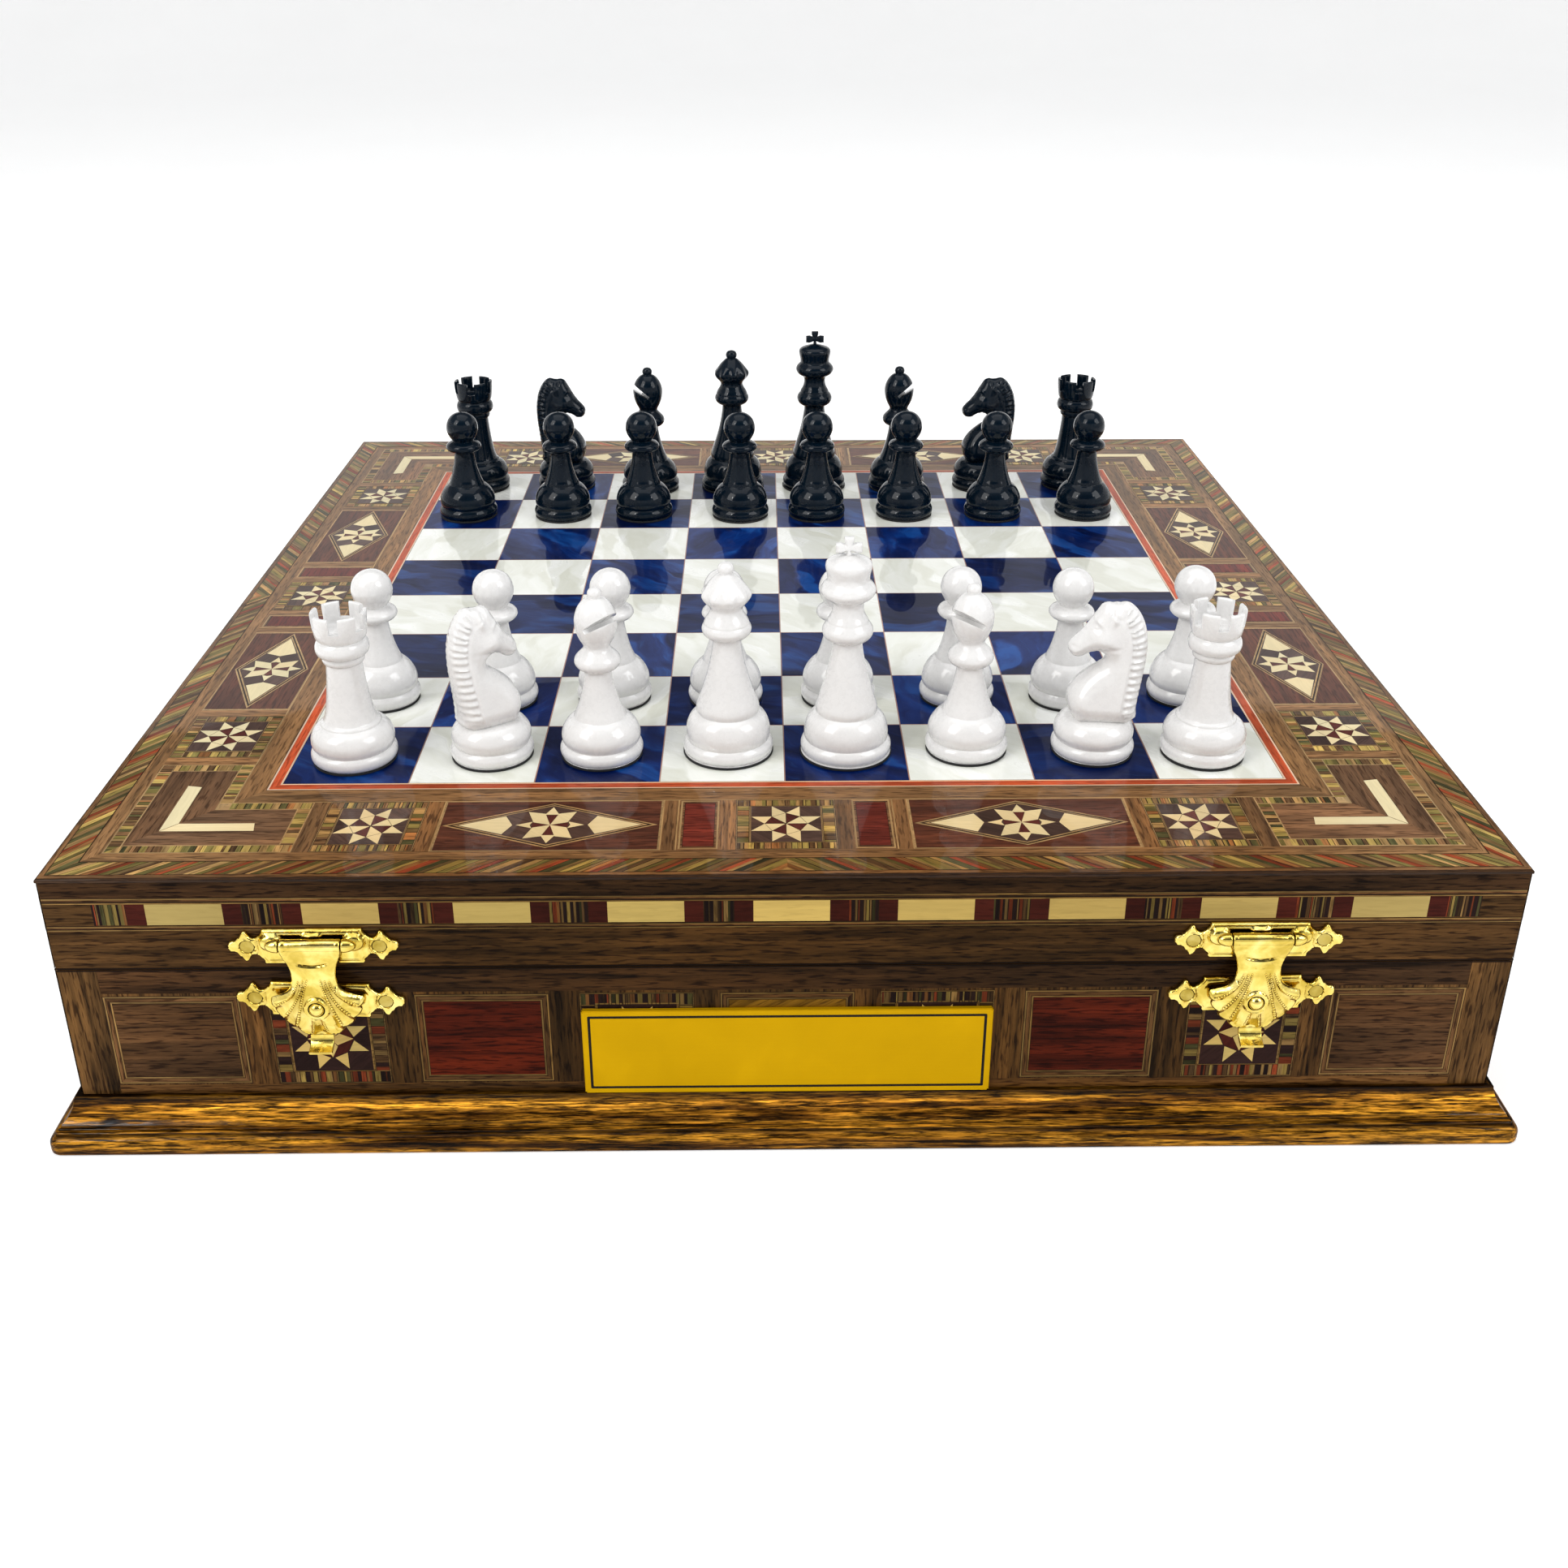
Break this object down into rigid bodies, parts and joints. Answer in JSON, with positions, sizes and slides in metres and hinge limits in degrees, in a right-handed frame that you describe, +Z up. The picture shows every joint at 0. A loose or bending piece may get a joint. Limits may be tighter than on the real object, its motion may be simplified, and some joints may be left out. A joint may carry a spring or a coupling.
{
  "type": "chess box",
  "caption": "Square wooden games box with a hinged chessboard lid, geometric marquetry, shell hasps, plinth moulding and a set of turned enamelled chessmen on the board.",
  "frame": {"origin": "centre of the underside of the box", "axes": "+Z up through the chessboard, -Y towards the front with the hasps and name plate, +X to the right seen from the front"},
  "size_m": [0.2994, 0.2994, 0.1115],
  "materials": {
    "case_wood": "satin",
    "moulding_wood": "gloss lacquer over streaky dark grain",
    "marquetry": "satin lacquer over geometric inlay",
    "border_wood": "satin lacquer",
    "felt": "felt",
    "name_plate": "matt",
    "gilt_brass": "polished",
    "blue_pearl": "gloss lacquer over marbled pearl",
    "white_pearl": "gloss lacquer over marbled pearl",
    "white_enamel": "gloss enamel",
    "black_enamel": "gloss enamel"
  },
  "bodies": {
    "case": {"bottom_panel": "case_wood", "plinth_moulding": "moulding_wood", "case_front": "case_wood", "case_back": "case_wood", "case_sides": "case_wood", "case_marquetry": "marquetry", "compartment_divider": "case_wood", "case_felt_lining": "felt", "name_plate": "name_plate", "catch_plates": "gilt_brass", "catch_studs": "gilt_brass", "case_hinge_leaves": "gilt_brass", "hinge_pins": "gilt_brass", "case_screws": "gilt_brass"},
    "lid": {"lid_panel": "case_wood", "lid_frame": "case_wood", "lid_marquetry_band": "marquetry", "top_marquetry": "marquetry", "board_border": "border_wood", "board_squares_blue": "blue_pearl", "board_squares_white": "white_pearl", "lid_felt_lining": "felt", "hasp_plates": "gilt_brass", "hasp_pins": "gilt_brass", "lid_hinge_leaves": "gilt_brass", "lid_screws": "gilt_brass"},
    "hasp_left": {"hasp_left": "gilt_brass"},
    "hasp_right": {"hasp_right": "gilt_brass"},
    "white_rook_a": {"white_rook_a": "white_enamel"},
    "white_knight_b": {"white_knight_b": "white_enamel"},
    "white_bishop_c": {"white_bishop_c": "white_enamel"},
    "white_queen": {"white_queen": "white_enamel"},
    "white_king": {"white_king": "white_enamel"},
    "white_bishop_f": {"white_bishop_f": "white_enamel"},
    "white_knight_g": {"white_knight_g": "white_enamel"},
    "white_rook_h": {"white_rook_h": "white_enamel"},
    "white_pawn_a": {"white_pawn_a": "white_enamel"},
    "white_pawn_b": {"white_pawn_b": "white_enamel"},
    "white_pawn_c": {"white_pawn_c": "white_enamel"},
    "white_pawn_d": {"white_pawn_d": "white_enamel"},
    "white_pawn_e": {"white_pawn_e": "white_enamel"},
    "white_pawn_f": {"white_pawn_f": "white_enamel"},
    "white_pawn_g": {"white_pawn_g": "white_enamel"},
    "white_pawn_h": {"white_pawn_h": "white_enamel"},
    "black_rook_a": {"black_rook_a": "black_enamel"},
    "black_knight_b": {"black_knight_b": "black_enamel"},
    "black_bishop_c": {"black_bishop_c": "black_enamel"},
    "black_queen": {"black_queen": "black_enamel"},
    "black_king": {"black_king": "black_enamel"},
    "black_bishop_f": {"black_bishop_f": "black_enamel"},
    "black_knight_g": {"black_knight_g": "black_enamel"},
    "black_rook_h": {"black_rook_h": "black_enamel"},
    "black_pawn_a": {"black_pawn_a": "black_enamel"},
    "black_pawn_b": {"black_pawn_b": "black_enamel"},
    "black_pawn_c": {"black_pawn_c": "black_enamel"},
    "black_pawn_d": {"black_pawn_d": "black_enamel"},
    "black_pawn_e": {"black_pawn_e": "black_enamel"},
    "black_pawn_f": {"black_pawn_f": "black_enamel"},
    "black_pawn_g": {"black_pawn_g": "black_enamel"},
    "black_pawn_h": {"black_pawn_h": "black_enamel"}
  },
  "joints": [
    {"name": "lid_hinge", "type": "hinge", "parent": "case", "child": "lid", "pos_m": [0, 0.1458, 0.041], "axis": [-1, 0, 0], "range_deg": [0, 105]},
    {"name": "hasp_left_pivot", "type": "hinge", "parent": "lid", "child": "hasp_left", "pos_m": [-0.092, -0.146, 0.048], "axis": [-1, 0, 0], "range_deg": [0, 150]},
    {"name": "hasp_right_pivot", "type": "hinge", "parent": "lid", "child": "hasp_right", "pos_m": [0.092, -0.146, 0.048], "axis": [-1, 0, 0], "range_deg": [0, 150]},
    {"name": "lift_white_rook_a", "type": "slide", "parent": "lid", "child": "white_rook_a", "axis": [0, 0, 1], "range_m": [0, 0.08]},
    {"name": "lift_white_knight_b", "type": "slide", "parent": "lid", "child": "white_knight_b", "axis": [0, 0, 1], "range_m": [0, 0.08]},
    {"name": "lift_white_bishop_c", "type": "slide", "parent": "lid", "child": "white_bishop_c", "axis": [0, 0, 1], "range_m": [0, 0.08]},
    {"name": "lift_white_queen", "type": "slide", "parent": "lid", "child": "white_queen", "axis": [0, 0, 1], "range_m": [0, 0.08]},
    {"name": "lift_white_king", "type": "slide", "parent": "lid", "child": "white_king", "axis": [0, 0, 1], "range_m": [0, 0.08]},
    {"name": "lift_white_bishop_f", "type": "slide", "parent": "lid", "child": "white_bishop_f", "axis": [0, 0, 1], "range_m": [0, 0.08]},
    {"name": "lift_white_knight_g", "type": "slide", "parent": "lid", "child": "white_knight_g", "axis": [0, 0, 1], "range_m": [0, 0.08]},
    {"name": "lift_white_rook_h", "type": "slide", "parent": "lid", "child": "white_rook_h", "axis": [0, 0, 1], "range_m": [0, 0.08]},
    {"name": "lift_white_pawn_a", "type": "slide", "parent": "lid", "child": "white_pawn_a", "axis": [0, 0, 1], "range_m": [0, 0.08]},
    {"name": "lift_white_pawn_b", "type": "slide", "parent": "lid", "child": "white_pawn_b", "axis": [0, 0, 1], "range_m": [0, 0.08]},
    {"name": "lift_white_pawn_c", "type": "slide", "parent": "lid", "child": "white_pawn_c", "axis": [0, 0, 1], "range_m": [0, 0.08]},
    {"name": "lift_white_pawn_d", "type": "slide", "parent": "lid", "child": "white_pawn_d", "axis": [0, 0, 1], "range_m": [0, 0.08]},
    {"name": "lift_white_pawn_e", "type": "slide", "parent": "lid", "child": "white_pawn_e", "axis": [0, 0, 1], "range_m": [0, 0.08]},
    {"name": "lift_white_pawn_f", "type": "slide", "parent": "lid", "child": "white_pawn_f", "axis": [0, 0, 1], "range_m": [0, 0.08]},
    {"name": "lift_white_pawn_g", "type": "slide", "parent": "lid", "child": "white_pawn_g", "axis": [0, 0, 1], "range_m": [0, 0.08]},
    {"name": "lift_white_pawn_h", "type": "slide", "parent": "lid", "child": "white_pawn_h", "axis": [0, 0, 1], "range_m": [0, 0.08]},
    {"name": "lift_black_rook_a", "type": "slide", "parent": "lid", "child": "black_rook_a", "axis": [0, 0, 1], "range_m": [0, 0.08]},
    {"name": "lift_black_knight_b", "type": "slide", "parent": "lid", "child": "black_knight_b", "axis": [0, 0, 1], "range_m": [0, 0.08]},
    {"name": "lift_black_bishop_c", "type": "slide", "parent": "lid", "child": "black_bishop_c", "axis": [0, 0, 1], "range_m": [0, 0.08]},
    {"name": "lift_black_queen", "type": "slide", "parent": "lid", "child": "black_queen", "axis": [0, 0, 1], "range_m": [0, 0.08]},
    {"name": "lift_black_king", "type": "slide", "parent": "lid", "child": "black_king", "axis": [0, 0, 1], "range_m": [0, 0.08]},
    {"name": "lift_black_bishop_f", "type": "slide", "parent": "lid", "child": "black_bishop_f", "axis": [0, 0, 1], "range_m": [0, 0.08]},
    {"name": "lift_black_knight_g", "type": "slide", "parent": "lid", "child": "black_knight_g", "axis": [0, 0, 1], "range_m": [0, 0.08]},
    {"name": "lift_black_rook_h", "type": "slide", "parent": "lid", "child": "black_rook_h", "axis": [0, 0, 1], "range_m": [0, 0.08]},
    {"name": "lift_black_pawn_a", "type": "slide", "parent": "lid", "child": "black_pawn_a", "axis": [0, 0, 1], "range_m": [0, 0.08]},
    {"name": "lift_black_pawn_b", "type": "slide", "parent": "lid", "child": "black_pawn_b", "axis": [0, 0, 1], "range_m": [0, 0.08]},
    {"name": "lift_black_pawn_c", "type": "slide", "parent": "lid", "child": "black_pawn_c", "axis": [0, 0, 1], "range_m": [0, 0.08]},
    {"name": "lift_black_pawn_d", "type": "slide", "parent": "lid", "child": "black_pawn_d", "axis": [0, 0, 1], "range_m": [0, 0.08]},
    {"name": "lift_black_pawn_e", "type": "slide", "parent": "lid", "child": "black_pawn_e", "axis": [0, 0, 1], "range_m": [0, 0.08]},
    {"name": "lift_black_pawn_f", "type": "slide", "parent": "lid", "child": "black_pawn_f", "axis": [0, 0, 1], "range_m": [0, 0.08]},
    {"name": "lift_black_pawn_g", "type": "slide", "parent": "lid", "child": "black_pawn_g", "axis": [0, 0, 1], "range_m": [0, 0.08]},
    {"name": "lift_black_pawn_h", "type": "slide", "parent": "lid", "child": "black_pawn_h", "axis": [0, 0, 1], "range_m": [0, 0.08]}
  ]
}
